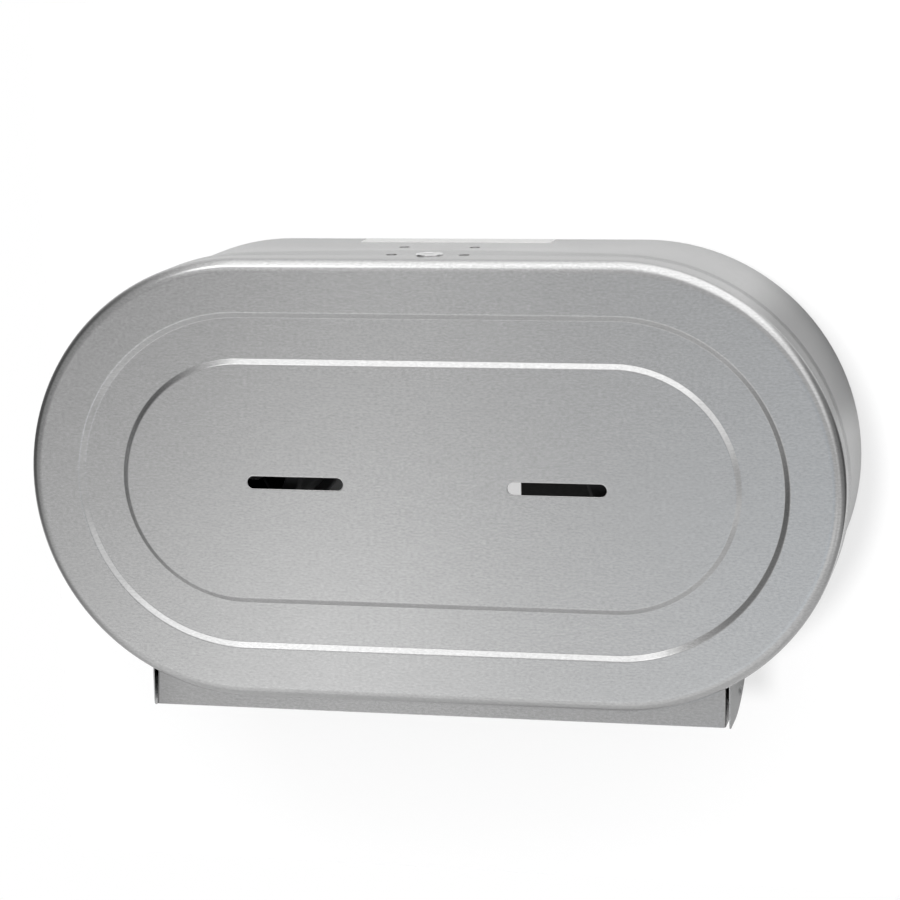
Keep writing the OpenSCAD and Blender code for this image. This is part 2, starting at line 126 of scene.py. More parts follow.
class CabinetSizes(bpy.types.PropertyGroup):
    """Sizes of the wrapped cabinet wall, its label and its weld marks."""

    sheet: length("Sheet", "Thickness of the cabinet's steel", 0.8 * MM)
    lap: length("Lap", "How far the door's rim laps over the cabinet", 5 * MM)
    cheek_out: length("Cheek", "Distance from the middle to a cheek's outer face", 190.8 * MM)
    cheek_front: length("Cheek front", "Depth of a cheek's front edge", 15.5 * MM)
    cheek_corner: length("Cheek corner", "Radius of a cheek's front lower corner", 3 * MM)
    cheek_curve: length("Cheek curve", "Depth at which a cheek's lower edge starts to rise", 36 * MM)
    cheek_round: length("Cheek round", "Radius in which a cheek's lower edge rises", 100 * MM)
    cheek_bend: length("Cheek bend", "Inner bend radius where a cheek meets the round end", 1.2 * MM)
    edge_round: length("Edge round", "Rounding of the sheet's cut edges", 0.2 * MM)
    label_middle: length("Label middle", "How far to the left the label's middle lies", 3.5 * MM)
    label_inset: length("Label inset", "Distance from the label to the cabinet's rear edge", 0.5 * MM)
    label_corner: length("Label corner", "Radius of the label's corners", 1.5 * MM)
    label_length: length("Label length", "Length of the blank label on top", 129 * MM)
    label_depth: length("Label depth", "Depth of the blank label on top", 19 * MM)
    label_sheet: length("Label thickness", "Thickness of the label", 0.15 * MM)
    weld_spread: length("Weld spread", "Half the distance between two weld marks", 23.5 * MM)
    weld_radius: length("Weld radius", "Outer radius of a weld mark", 3.5 * MM)
    weld_rise: length("Weld rise", "Height of a weld mark's ridge", 0.09 * MM)
    weld_depth: length("Weld depth", "How far the top's weld marks lie from the wall", 47 * MM)
    rim_weld_shift: length("Rim weld shift", "How far to the left the rim's pair lies", 1 * MM)
    top_weld_shift: length("Top weld shift", "How far to the left the top's pair lies", 7.5 * MM)


class Finishes(bpy.types.PropertyGroup):
    """Colours and grain of the finishes."""

    steel: colour("Steel", "Colour of the satin steel", (0.625, 0.625, 0.625))
    # Painted shade: the back plate is set near black, far darker than its steel, so that the cabinet's
    # shaded inside looks black through the slots
    back_steel_painted_shade: colour("Back steel painted shade", "Colour of the dull back plate", (0.1, 0.1, 0.1))
    plain_steel: colour("Plain steel", "Colour of the brackets' mill finish", (0.5, 0.505, 0.51))
    zinc: colour("Zinc", "Colour of the zinc-plated small parts", (0.6, 0.6, 0.59))
    chrome: colour("Chrome", "Colour of the plated lock", (0.93, 0.93, 0.93))
    hub_black: colour("Hub black", "Colour of the moulded hubs and adapters", (0.022, 0.022, 0.024))
    spacer_white: colour("Spacer", "Colour of the natural moulded spacers", (0.62, 0.61, 0.57))
    label_white: colour("Label", "Colour of the blank label", (0.9, 0.9, 0.89))
    weld_grey: colour("Weld grey", "Colour of a spot weld's burnt ring", (0.04, 0.038, 0.036))
    grain_length: length("Grain length", "Length of a brushed scratch", 2.6 * MM)
    grain_width: length("Grain width", "Width of a brushed scratch", 1.1 * MM)
    grain_tone: plain("Grain tone", "How much the grain lightens and darkens the steel", 0.27,
                      min=0, max=1)
    grain_relief: plain("Grain relief", "Strength of the grain's relief", 0.12, min=0, max=1)
    wear: plain("Wear", "How much the roughness changes in clouds", 0.01, min=0, max=1)
    steel_roughness: plain("Steel roughness", "Roughness of the satin steel", 0.22, min=0, max=1)
    anisotropy: plain("Anisotropy", "How much more the grain blurs across than along", 0.5,
                      min=0, max=1)


class Studio(bpy.types.PropertyGroup):
    """The camera, the backdrop and the light."""

    lens: plain("Lens", "Focal length on a 36 mm sensor, in millimetres", 112.8)
    camera_place: FloatVectorProperty(name="Camera place", description="Where the camera stands",
                                      default=(0.41726, -1.82355, 0.35458), subtype="TRANSLATION",
                                      unit="LENGTH")
    camera_turn: plain("Camera turn", "Turn to the left about the upright", math.radians(13.33),
                       subtype="ANGLE")
    camera_dip: plain("Camera dip", "Tilt down", math.radians(-10.79), subtype="ANGLE")
    camera_roll: plain("Camera roll", "Roll about the line of sight", math.radians(1.31),
                       subtype="ANGLE")
    key_power: plain("Key", "Strength of the soft key lamp", 1.5, min=0)
    key_softness: plain("Key softness", "Angle over which the key lamp spreads", math.radians(8),
                        subtype="ANGLE")
    key_direction: FloatVectorProperty(name="Key direction", description="Where the key's light goes",
                                       default=(0.085, 1, -0.085), subtype="DIRECTION")
    board_gap: length("Board gap", "Gap between the cabinet's back and the board", 1 * MM)
    board_width: length("Board width", "Width of the pale board behind", 0.6)
    board_height: length("Board height", "Height of the pale board behind", 0.6)
    floor_size: length("Floor size", "Width and depth of the floor", 1.3)
    floor_drop: length("Floor", "How far the floor lies below the middle", FLOOR_DROP)


GROUPS = {"dispenser_door": DoorSizes, "dispenser_cabinet": CabinetSizes,
          "dispenser_finishes": Finishes, "dispenser_studio": Studio}


# Shapes


def bent_line(steps, start, heading, turn_step=math.radians(7)):
    """Mid-line of a bent sheet in its own plane, with a unit vector to its left at each point.

    Each step is (length, 0) for a straight run or (radius, turn) for an arc. A run goes on by
    length times (cos h, sin h). An arc's point is its centre plus or minus radius times the
    left vector, as the heading h goes from its start to its end in equal turns.
    """
    at = np.array(start, float)
    points, headings = [at[None]], [np.array([heading])]
    for size, turn in steps:
        if turn == 0:
            at = at + size * np.array([math.cos(heading), math.sin(heading)])
            points.append(at[None])
            headings.append(np.array([heading]))
            continue
        side = math.copysign(1, turn)
        h = heading + turn * np.linspace(0, 1, max(4, math.ceil(abs(turn) / turn_step)) + 1)[1:]
        centre = at + side * size * np.array([-math.sin(heading), math.cos(heading)])
        arc = centre + side * size * np.stack([np.sin(h), -np.cos(h)], 1)
        points.append(arc)
        headings.append(h)
        at, heading = arc[-1], heading + turn
    points, headings = np.concatenate(points), np.concatenate(headings)
    return points, np.stack([-np.sin(headings), np.cos(headings)], 1)


def run_lengths(points):
    """Distance along a line of points, from its first."""
    return np.concatenate([[0], np.cumsum(np.linalg.norm(np.diff(points, axis=0), axis=1))])


def grid_faces(rows, columns, round_rows=False, round_columns=False, first=0):
    """Four corners of each cell of a grid whose point (i, j) has the index first + i * columns + j."""
    i = np.arange(rows if round_rows else rows - 1)
    j = np.arange(columns if round_columns else columns - 1)
    i, j = np.meshgrid(i, j, indexing="ij")
    i2, j2 = (i + 1) % rows, (j + 1) % columns
    corners = [i * columns + j, i2 * columns + j, i2 * columns + j2, i * columns + j2]
    return (np.stack(corners, -1).reshape(-1, 4) + first).tolist()


def make_piece(name, points, faces, flat_places, sharp=math.radians(35)):
    """A closed piece from points (n, 3) and faces, with doubles merged and faces outward.

    flat_places (n, 2) is where each point lies on the flat sheet before it was drawn or bent,
    in metres. It becomes the UV map, so that the grain runs over a bend as on real sheet.
    """
    mesh = bpy.data.meshes.new(name)
    mesh.from_pydata(np.asarray(points, float).tolist(), [], faces)
    layer = mesh.uv_layers.new(name="sheet")
    corner_point = np.empty(len(mesh.loops), np.int64)
    mesh.loops.foreach_get("vertex_index", corner_point)
    layer.data.foreach_set("uv", np.asarray(flat_places, np.float32)[corner_point].ravel())
    shape = bmesh.new()
    shape.from_mesh(mesh)
    bmesh.ops.remove_doubles(shape, verts=shape.verts, dist=MERGE)
    bmesh.ops.recalc_face_normals(shape, faces=shape.faces)
    if any(not edge.is_manifold for edge in shape.edges):
        raise RuntimeError(f"{name} isn't closed")
    shape.to_mesh(mesh)
    shape.free()
    mesh.shade_smooth()
    mesh.set_sharp_from_angle(angle=sharp)
    piece = bpy.data.objects.new(name, mesh)
    bpy.context.scene.collection.objects.link(piece)
    return piece


def rounded_edge(half, round_off, steps=4):
    """A cut edge's section: offsets from the mid-line and distances in from the very edge.

    It goes from the left face (offset half) round two quarter circles of radius round_off to
    the right face (offset -half).
    """
    turn = np.linspace(0, math.pi / 2, steps)
    offset = half - round_off + round_off * np.cos(turn)
    inwards = round_off * (1 - np.sin(turn))
    return np.concatenate([offset, -offset[::-1]]), np.concatenate([inwards, inwards[::-1]])


def sheet_strip(path, left, low, high, half, round_off):
    """Points, faces and flat places of a bent strip, in the frame (along plane x, plane y, across).

    The closed section of each path point has the offset o along left and the place c across:
    c = high - d round the high edge and low + d round the low edge, with (o, d) from
    rounded_edge. Ends are capped by one face each.
    """
    offset, inwards = rounded_edge(half, round_off)
    guard = 3 * round_off
    o = np.concatenate([[half], offset, [-half], [-half], -offset, [half]])
    d = np.concatenate([[guard], inwards, [guard], [guard], inwards, [guard]])
    at_high = np.arange(len(o)) < len(o) // 2
    across = np.where(at_high, high[:, None] - d, low[:, None] + d)
    plane = path[:, None] + left[:, None] * o[None, :, None]
    points = np.concatenate([plane, across[..., None]], 2)
    along = np.broadcast_to(run_lengths(path)[:, None], across.shape)
    rows, columns = across.shape
    faces = grid_faces(rows, columns, round_columns=True)
    faces += [list(range(columns)), list(range((rows - 1) * columns, rows * columns))]
    return points.reshape(-1, 3), faces, np.stack([along, across], -1).reshape(-1, 2)


def arch(x, middle, side, half):
    """Depth of the curved seam at x: an arc through side at x = -half and half, middle at 0."""
    rise = middle - side
    radius = (half**2 + rise**2) / (2 * rise)
    inside = np.abs(x) < half
    curve = middle - radius + np.sqrt(radius**2 - np.where(inside, x, half) ** 2)
    return np.where(inside, curve, side)


def stadium_samples(core, breaks, straight_steps=60, arc_steps=84):
    """Core point x and angle round a stadium, counter-clockwise from the top right.

    breaks are more angles at which samples are wanted, given for the right-hand half circle
    and mirrored for the left one.
    """
    x = np.linspace(core, -core, straight_steps + 1)
    turn = np.linspace(0, math.pi, arc_steps + 1)
    right = np.unique(np.concatenate([turn - math.pi / 2, breaks]))
    left = math.pi - right[::-1]
    core_x = np.concatenate([
        x[1:-1], np.full(len(left), -core), -x[1:-1], np.full(len(right), core)])
    angle = np.concatenate([
        np.full(len(x) - 2, math.pi / 2), left,
        np.full(len(x) - 2, 1.5 * math.pi), right + 2 * math.pi,
    ])
    return core_x, angle


def slot_ring(middle, core_half, radius, steps=20):
    """Outline of a slot: two half circles about the ends of a core line, core_half from its middle."""
    turn = np.linspace(-math.pi / 2, math.pi / 2, steps + 1)
    angle = np.concatenate([turn, turn + math.pi])
    core = np.repeat([core_half, -core_half], steps + 1)
    return np.stack([middle + core + radius * np.cos(angle), radius * np.sin(angle)], 1)


def panel_faces(outline, holes, first_of):
    """Triangles of a flat panel with holes, as indices into the piece's points.

    outline and holes are rings of points in the plane, and first_of gives the index of each
    ring's first point in the piece. Triangles whose middle lies in a hole are left out: a
    middle is in a slot when it is nearer to the slot's core line than its radius.
    """
    rings = [outline] + [ring for ring, _ in holes]
    sizes = [len(r) for r in rings]
    starts = np.concatenate([[0], np.cumsum(sizes)[:-1]])
    where = np.concatenate([first + np.arange(n) for first, n in zip(first_of, sizes)])
    places = np.concatenate(rings)
    edges = [(int(s + k), int(s + (k + 1) % n)) for s, n in zip(starts, sizes) for k in range(n)]
    made = delaunay_2d_cdt([Vector(p) for p in places.tolist()], edges, [], 0, 1e-9)
    if len(made[0]) != len(places):
        raise RuntimeError("the panel's triangles need points that its rings don't have")
    triangles = np.array(made[2])
    middles = places[triangles].mean(1)
    keep = np.ones(len(triangles), bool)
    for _, (middle, half, radius) in holes:
        nearest = np.clip(middles[:, 0] - middle, -half, half)
        gap = np.hypot(middles[:, 0] - middle - nearest, middles[:, 1])
        # A hair less than the radius, because the ring's chords lie inside its circle
        keep &= gap > radius * 0.999
    return where[triangles[keep]].tolist()


# Materials

# Brushed grain: scale, detail and offset of the fine and of the coarse noise, and their shares
FINE_NOISE, COARSE_NOISE = (1, 2, 0), (0.23, 3, 17.3)
FINE_SHARE, COARSE_SHARE = 0.8, 0.2
# Roughness of both noises, height of the relief, and scale and detail of the cloudy wear
GRAIN_ROUGHNESS, RELIEF_HEIGHT = 0.6, 0.02 * MM
CLOUD_SCALE, CLOUD_DETAIL = 26, 3
# Direction of the anisotropic blur, in full turns
BLUR_TURN = 0.25
# Finishes without a grain: colour setting, metallic and roughness
PLAIN_FINISHES = {
    "Zinc plate": ("zinc", 1, 0.3),
    "Lock chrome": ("chrome", 1, 0.12),
    "Rivet steel": ("plain_steel", 1, 0.3),
    "Hub black": ("hub_black", 0, 0.42),
    "Spacer white": ("spacer_white", 0, 0.45),
    "Label paper": ("label_white", 0, 0.6),
    "Weld tint": ("weld_grey", 0, 0.5),
}


def new_material(name, **settings):
    """A material with its Principled shader's own sockets set from settings."""
    material = bpy.data.materials.new(name)
    material.use_nodes = True
    shader = material.node_tree.nodes["Principled BSDF"]
    for socket, value in settings.items():
        shader.inputs[socket.replace("_", " ")].default_value = value
    return material, material.node_tree.nodes, material.node_tree.links, shader


def add_socket(group, name, kind, way="INPUT", default=None):
    """A named socket on a node group."""
    socket = group.interface.new_socket(name=name, in_out=way, socket_type="NodeSocket" + kind)
    if default is not None:
        socket.default_value = default


def operation_node(nodes, links, kind, operation, operands):
    """A Math or Vector Math node; each operand is a socket, a constant, or None for no change."""
    node = nodes.new(kind)
    node.operation = operation
    for socket, value in zip(node.inputs, operands):
        if isinstance(value, bpy.types.NodeSocket):
            links.new(value, socket)
        elif value is not None:
            socket.default_value = value
    return node


def math_node(nodes, links, operation, *operands, clamp=False):
    """The result of a Math node."""
    node = operation_node(nodes, links, "ShaderNodeMath", operation, operands)
    node.use_clamp = clamp
    return node.outputs[0]


def vector_node(nodes, links, operation, *operands, output="Vector"):
    """A result of a Vector Math node."""
    node = operation_node(nodes, links, "ShaderNodeVectorMath", operation, operands)
    return node.outputs[output]


def brushed_group():
    """Brushed sheet: short thin scratches along the first coordinate, with cloudy wear.

    Streak = FINE_SHARE * fine noise + COARSE_SHARE * coarse noise, spread from -1 to 1, on
    coordinates divided by the scratch's length and width. Colour is the base colour times
    1 + tone * streak, Roughness the base plus wear * cloud, and Height the coarse noise for a
    Bump node.
    """
    if "Brushed sheet" in bpy.data.node_groups:
        return bpy.data.node_groups["Brushed sheet"]
    group = bpy.data.node_groups.new("Brushed sheet", "ShaderNodeTree")
    for name, kind, default in (
        ("Vector", "Vector", None), ("Base Color", "Color", (0.6, 0.6, 0.6, 1)),
        ("Base Roughness", "Float", 0.3), ("Along", "Float", 100.0), ("Across", "Float", 2000.0),
        ("Tone", "Float", 0.1), ("Wear", "Float", 0.04),
    ):
        add_socket(group, name, kind, default=default)
    for name, kind in (("Color", "Color"), ("Roughness", "Float"), ("Height", "Float")):
        add_socket(group, name, kind, "OUTPUT")
    nodes, links = group.nodes, group.links
    given, out = nodes.new("NodeGroupInput"), nodes.new("NodeGroupOutput")
    stretch = nodes.new("ShaderNodeCombineXYZ")
    links.new(given.outputs["Along"], stretch.inputs[0])
    links.new(given.outputs["Across"], stretch.inputs[1])
    links.new(given.outputs["Across"], stretch.inputs[2])

    scaled = vector_node(nodes, links, "MULTIPLY", given.outputs["Vector"], stretch.outputs[0])

    def noise(place, scale, detail):
        node = nodes.new("ShaderNodeTexNoise")
        node.inputs["Scale"].default_value = scale
        node.inputs["Detail"].default_value = detail
        links.new(place, node.inputs["Vector"])
        return node

    def streaks(scale, detail, offset):
        place = vector_node(nodes, links, "MULTIPLY_ADD", scaled, [scale] * 3, [offset] * 3)
        streak = noise(place, 1, detail)
        streak.inputs["Roughness"].default_value = GRAIN_ROUGHNESS
        return streak.outputs["Fac"]

    fine, coarse = streaks(*FINE_NOISE), streaks(*COARSE_NOISE)
    fine = math_node(nodes, links, "MULTIPLY", fine, FINE_SHARE)
    both = math_node(nodes, links, "MULTIPLY_ADD", coarse, COARSE_SHARE, fine)
    streak = math_node(nodes, links, "MULTIPLY_ADD", both, 2, -1)
    shade = math_node(nodes, links, "MULTIPLY_ADD", streak, given.outputs["Tone"], 1)
    tint = vector_node(nodes, links, "SCALE", given.outputs["Base Color"], None, None, shade)
    links.new(tint, out.inputs["Color"])
    cloud = noise(given.outputs["Vector"], CLOUD_SCALE, CLOUD_DETAIL).outputs["Fac"]
    wear = math_node(nodes, links, "MULTIPLY_ADD", cloud, 2, -1)
    rough = math_node(nodes, links, "MULTIPLY_ADD", wear, given.outputs["Wear"],
                      given.outputs["Base Roughness"], clamp=True)
    links.new(rough, out.inputs["Roughness"])
    links.new(coarse, out.inputs["Height"])
    return group


def brushed_steel(name, base, roughness, coordinates="UV", tone=None, relief=None):
    """Satin sheet steel, its grain on the piece's flat places or on Object coordinates.

    tone and relief are the add-on's settings where they aren't given.
    """
    finish = bpy.context.scene.dispenser_finishes
    tone = finish.grain_tone if tone is None else tone
    relief = finish.grain_relief if relief is None else relief
    _, nodes, links, shader = new_material(
        name, Metallic=1.0, Anisotropic=finish.anisotropy, Anisotropic_Rotation=BLUR_TURN)
    place = nodes.new("ShaderNodeTexCoord")
    grain = nodes.new("ShaderNodeGroup")
    grain.node_tree = brushed_group()
    links.new(place.outputs[coordinates], grain.inputs["Vector"])
    for socket, value in (
        ("Base Color", (*base, 1)), ("Base Roughness", roughness), ("Tone", tone),
        ("Along", 1 / finish.grain_length), ("Across", 1 / finish.grain_width),
        ("Wear", finish.wear),
    ):
        grain.inputs[socket].default_value = value
    links.new(grain.outputs["Color"], shader.inputs["Base Color"])
    links.new(grain.outputs["Roughness"], shader.inputs["Roughness"])
    bump = nodes.new("ShaderNodeBump")
    bump.inputs["Strength"].default_value = relief
    bump.inputs["Distance"].default_value = RELIEF_HEIGHT
    links.new(grain.outputs["Height"], bump.inputs["Height"])
    links.new(bump.outputs[0], shader.inputs["Normal"])


def materials():
    """Every finish of the dispenser by name, built once."""
    finish = bpy.context.scene.dispenser_finishes
    if "Door steel" in bpy.data.materials:
        return bpy.data.materials
    for name in ("Door steel", "Cabinet steel"):
        brushed_steel(name, finish.steel, finish.steel_roughness)
    # The back plate's near-black colour is painted shade of the cabinet's inside
    brushed_steel("Back steel painted shade", finish.back_steel_painted_shade, roughness=0.34, coordinates="Object")
    brushed_steel("Bracket steel", finish.plain_steel, roughness=0.38, coordinates="Object",
                  tone=0.12, relief=0.05)
    for name, (shade, metallic, roughness) in PLAIN_FINISHES.items():
        new_material(name, Base_Color=(*getattr(finish, shade), 1), Metallic=metallic,
                     Roughness=roughness)
    return bpy.data.materials


def dress(piece, material):
    """Give a piece one finish, all over."""
    piece.data.materials.clear()
    piece.data.materials.append(materials()[material])


def dress_node(node, material, bevel):
    """Give a solid of the frame its finish, and round its sharp edges with live modifiers."""
    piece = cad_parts[node]
    dress(piece, material)
    if bevel:
        weld = piece.modifiers.new("Weld", "WELD")
        weld.merge_threshold = MERGE
        rounded = piece.modifiers.new("Bevel", "BEVEL")
        rounded.width = bevel
        rounded.segments = 2
        rounded.limit_method = "ANGLE"
        rounded.angle_limit = math.radians(40)
        rounded.harden_normals = True


# Pieces


def door_section(s, radius):
    """Mid-line of the door from the inner panel out to the rim: (distance from the core, depth).

    Straight runs and arcs follow each other, with a short row of GUARD or EASE beside each bend,
    so that the flats stay flat. Returned with it: its left vectors, the distance on the flat
    sheet at each point, and the depth that the rim reaches all round.
    """
    half = s.sheet / 2
    bend_rise = s.step_bend * (1 - math.cos(s.step_slope))
    flat = (s.step_depth - 2 * bend_rise) / math.sin(s.step_slope)
    run = 2 * s.step_bend * math.sin(s.step_slope) + flat * math.cos(s.step_slope)
    start = s.inner_step - run / 2 - GUARD
    common_depth = s.outlet_depth - 2 * GUARD
    steps = [
        (GUARD, 0), (s.step_bend, s.step_slope), (EASE, 0), (flat - 2 * EASE, 0), (EASE, 0),
        (s.step_bend, -s.step_slope), (GUARD, 0),
        (s.outer_step - s.inner_step - run - 2 * GUARD, 0), (GUARD, 0),
        (s.step_bend, -s.step_slope), (EASE, 0), (flat - 2 * EASE, 0), (EASE, 0),
        (s.step_bend, s.step_slope), (GUARD, 0),
        (radius - s.edge_radius - s.outer_step - run / 2 - 2 * GUARD, 0), (GUARD, 0),
        (s.edge_radius - half, math.pi / 2), (GUARD, 0),
        (common_depth - s.edge_radius - GUARD, 0),
    ]
    line, left = bent_line(steps, (start, half), 0, math.radians(5))
    return line, left, start + run_lengths(line), common_depth


def slot_walls(s, middle):
    """Rings of one sight slot's wall and their depths, and the slot's core line and two radii.

    The front edge is rolled in: radius + roll * (1 - sin t) at a depth of roll * (1 - cos t).
    """
    radius = s.slot_height / 2
    core_half = s.slot_length / 2 - radius
    roll = np.linspace(0, math.pi / 2, 5)
    wall_radius = radius + np.concatenate([
        [s.slot_roll + GUARD], s.slot_roll * (1 - np.sin(roll)), [0, GUARD]])
    depth = np.concatenate([[0], s.slot_roll * (1 - np.cos(roll)), [s.sheet, s.sheet]])
    rings = np.stack([slot_ring(middle, core_half, r) for r in wall_radius])
    return rings, depth, (middle, core_half), (wall_radius[0], wall_radius[-1])


def along_all(values, count):
    """The same row of values at every point of an outline."""
    return np.broadcast_to(values, (count, len(values)))


class DISPENSER_OT_cover(bpy.types.Operator):
    """Build the drawn door cover with its two steps, sight slots and curved rear edge"""

    bl_idname = "dispenser.cover"
    bl_label = "Door Cover"

    def execute(self, context):
        s = context.scene.dispenser_door
        radius = COVER_HIGH.z
        core = COVER_HIGH.x - radius
        deepest = COVER_HIGH.y - FRONT
        half = s.sheet / 2
        line, left, drawn, common_depth = door_section(s, radius)
        offset, inwards = rounded_edge(half, s.edge_round)
        outer, inner = line - half * left, line + half * left

        # Outline, with close samples where the lower rim stops short
        turn = -math.acos((s.outlet_half - core) / radius)
        step = OUTLET_STEP / radius
        core_x, angle = stadium_samples(core, [turn - step, turn + step])
        out = np.stack([np.cos(angle), np.sin(angle)], 1)
        x = core_x + radius * out[:, 0]
        end = arch(x, deepest, s.side_depth, s.arch_half)
        end = np.where((out[:, 1] > 0) | (np.abs(out[:, 1]) < 1e-6), end, s.side_depth)
        end = np.where((out[:, 1] < 0) & (np.abs(x) < s.outlet_half), s.outlet_depth, end)

        # Rows of the section: front face out, round the rim's cut edge, and back inside
        count = len(angle)
        edge_depth = end[:, None] - inwards
        to_core = np.concatenate([
            along_all(outer[:, 0], count), along_all(radius - half + offset, count),
            along_all(inner[::-1, 0], count)], 1)
        depth = np.concatenate([
            along_all(outer[:, 1], count), edge_depth, along_all(inner[::-1, 1], count)], 1)
        developed = np.concatenate([
            along_all(drawn, count), drawn[-1] + edge_depth - common_depth,
            along_all(drawn[::-1], count)], 1)
        shell = np.stack([
            core_x[:, None] + to_core * out[:, :1], FRONT + depth, to_core * out[:, 1:]], -1)
        blank = core_x[:, None, None] * [1, 0] + developed[..., None] * out[:, None]
        rows, columns = depth.shape
        faces = grid_faces(rows, columns, round_rows=True)
        points, places = [shell.reshape(-1, 3)], [blank.reshape(-1, 2)]
        first = rows * columns

        # Slots: walls with rolled edges, and the two flat panels round them
        fronts, backs = [], []
        for middle in (-s.slot_middle, s.slot_middle):
            rings, wall_depth, core_line, radii = slot_walls(s, middle)
            levels, around = rings.shape[:2]
            y = np.broadcast_to((FRONT + wall_depth)[:, None], (levels, around))
            points.append(np.stack([rings[..., 0], y, rings[..., 1]], -1).reshape(-1, 3))
            places.append(rings.reshape(-1, 2))
            faces += grid_faces(levels, around, round_columns=True, first=first)
            fronts.append((first, rings[0], (*core_line, radii[0])))
            backs.append((first + (levels - 1) * around, rings[-1], (*core_line, radii[-1])))
            first += levels * around
        for column, slots in ((0, fronts), (-1, backs)):
            ring = blank[:, column]
            points.append(shell[:, column])
            places.append(ring)
            faces += panel_faces(ring, [(r, hole) for _, r, hole in slots],
                                 [first] + [start for start, _, _ in slots])
            first += rows
        piece = make_piece("drawn_cover", np.concatenate(points), faces, np.concatenate(places))
        dress(piece, "Door steel")
        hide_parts("door_cover")
        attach(piece, "door")
        return {"FINISHED"}


class DISPENSER_OT_wall(bpy.types.Operator):
    """Build the wrapped cabinet wall with its two bent-down cheeks"""

    bl_idname = "dispenser.wall"
    bl_label = "Cabinet Wall"

    def execute(self, context):
        s = context.scene.dispenser_cabinet
        door = context.scene.dispenser_door
        half = s.sheet / 2
        radius, core = WALL_HIGH.z - half, COVER_HIGH.x - COVER_HIGH.z
        bend = s.cheek_bend + half
        cheek_x = s.cheek_out - half
        bottom = WALL_LOW.z

        # The bend's circle touches the cheek's line and the round end's circle from outside
        bend_z = -math.sqrt((radius + bend) ** 2 - (cheek_x + bend - core) ** 2)
        turn = math.pi / 2 - math.acos((cheek_x + bend - core) / (radius + bend))
        around = math.pi / 2 + (math.pi / 2 - turn)
        curl = math.radians(3)
        guard = 0.4 * MM
        # Samples up a cheek follow its front corner and its lower edge's curve in equal turns
        top_turn = math.acos(1 - (bend_z - bottom) / s.cheek_round)
        rise = np.concatenate([
            s.cheek_corner * (1 - np.cos(np.linspace(0, math.pi / 2, 7))),
            s.cheek_round * (1 - np.cos(np.linspace(0, top_turn, 13)))])
        runs = [(r, 0) for r in np.diff(np.unique(rise.round(7)))]
        straight = [(guard, 0)] + [((2 * core - 2 * guard) / 50, 0)] * 50 + [(guard, 0)]
        up, left = bent_line(runs + [(bend, turn - math.pi / 2)], (cheek_x, bottom), math.pi / 2)
        over, over_left = bent_line([(radius, around)] + straight + [(radius, around)],
                                    up[-1], turn, curl)
        down, down_left = up[::-1] * [-1, 1], left[::-1] * [-1, 1]
        path = np.concatenate([up, over[1:], down[1:]])
        sides = np.concatenate([left, over_left[1:], down_left[1:]])

        # Front and rear edges: the cheek's, and from the bend's last three samples on those of
        # the round wall, with its arch over the top
        cheek_samples = len(up) - 3
        on_cheek = np.zeros(len(path), bool)
        on_cheek[:cheek_samples] = on_cheek[-cheek_samples:] = True
        front = arch(path[:, 0], COVER_HIGH.y - FRONT - s.lap, door.side_depth - s.lap, door.arch_half)
        front = np.where(path[:, 1] > 0, front, door.side_depth - s.lap)
        risen = np.maximum(path[:, 1] - bottom, 0)
        below = np.maximum(s.cheek_corner - risen, 0)
        corner = s.cheek_front + s.cheek_corner - np.sqrt(s.cheek_corner**2 - below**2)
        front = np.where(on_cheek, corner, front)
        below = np.maximum(s.cheek_round - risen, 0)
        curve = s.cheek_curve + np.sqrt(s.cheek_round**2 - below**2)
        rear = np.where(on_cheek, curve, -FRONT)

        points, faces, places = sheet_strip(path, sides, front, rear, half, s.edge_round)
        points = points[:, [0, 2, 1]] + [0, FRONT, 0]
        piece = make_piece("wrapped_wall", points, faces, places)
        dress(piece, "Cabinet steel")
        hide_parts("cabinet_wall")
        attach(piece, "cabinet")
        return {"FINISHED"}


class DISPENSER_OT_apron(bpy.types.Operator):
    """Build the door's apron, a strip with two arms bent back to the hinge rivets"""

    bl_idname = "dispenser.apron"
    bl_label = "Apron"

    def execute(self, context):
        s = context.scene.dispenser_door
        half = s.sheet / 2
        bend = s.apron_bend - half
        arm_x = APRON_HIGH.x - half
        hinge = HINGE_Y - FRONT
        # Samples along an arm: its round end in equal turns from near its tip, then the taper,
        # then the strip
        turn = np.linspace(math.radians(84), 0, 12)
        stops = np.concatenate([
            hinge + s.arm_end * np.sin(turn),
            [(hinge + s.arm_slope_start) / 2, s.arm_slope_start, s.apron_front + s.apron_bend]])
        arm = [(run, 0) for run in -np.diff(stops)]
        width = 2 * (arm_x - bend)
        path, left = bent_line(
            arm + [(bend, math.pi / 2)] + [(width / 20, 0)] * 20 + [(bend, math.pi / 2)] + arm[::-1],
            (-arm_x, stops[0]), -math.pi / 2)
        depth = path[:, 1]
        round_part = np.sqrt(np.maximum(s.arm_end**2 - np.maximum(depth - hinge, 0) ** 2, 0))
        apron_low, apron_high = APRON_LOW.z, APRON_HIGH.z
        taper_start = s.apron_front - s.arm_taper
        share = np.clip((depth - taper_start) / (hinge - taper_start), 0, 1)
        low = apron_low + share * (HINGE_Z - s.arm_end - apron_low)
        share = np.clip((depth - s.arm_slope_start) / (hinge - s.arm_slope_start), 0, 1)
        high = apron_high + share * (HINGE_Z + s.arm_end - apron_high)
        low = np.where(depth >= hinge, HINGE_Z - round_part, low)
        high = np.where(depth >= hinge, HINGE_Z + round_part, high)
        points, faces, places = sheet_strip(path, left, low, high, half, s.edge_round)
        # The strip leans about the rim's lowest point, and the lean fades out along the arms
        full = s.apron_front + s.apron_bend
        share = np.clip((s.arm_slope_start - points[:, 1]) / (s.arm_slope_start - full), 0, 1)
        points[:, 1] += share * math.tan(s.apron_lean) * (points[:, 2] - COVER_LOW.z)
        piece = make_piece("hinged_apron", points + [0, FRONT, 0], faces, places)
        dress(piece, "Door steel")
        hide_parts("door_apron")
        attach(piece, "door")
        return {"FINISHED"}


